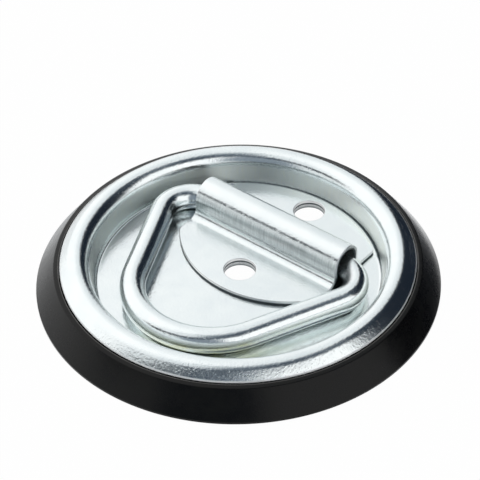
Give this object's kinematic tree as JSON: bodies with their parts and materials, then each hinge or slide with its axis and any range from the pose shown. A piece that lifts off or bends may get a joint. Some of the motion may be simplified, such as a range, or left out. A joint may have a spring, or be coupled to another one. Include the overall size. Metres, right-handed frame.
{
  "type": "lashing ring",
  "caption": "Round surface mounted lashing dish with a folding D ring under a saddle strap, bolt holes through the floor and a conical rubber surround.",
  "frame": {"origin": "centre of the mounting face, on the dish axis", "axes": "+Z out of the mounting face, +X along the back bar of the ring, +Y from the bow of the ring towards the strap"},
  "size_m": [0.125, 0.125, 0.0138],
  "materials": {
    "zinc_plate": "bright zinc plating on pressed sheet and round bar",
    "rubber": "matt moulded"
  },
  "bodies": {
    "base": {"dish": "zinc_plate", "strap": "zinc_plate", "rubber_surround": "rubber"},
    "ring": {"ring": "zinc_plate"}
  },
  "joints": [
    {"name": "ring_swing", "type": "hinge", "parent": "base", "child": "ring", "pos_m": [0, 0.0186, 0.0058], "axis": [-1, 0, 0], "range_deg": [0, 122]}
  ]
}
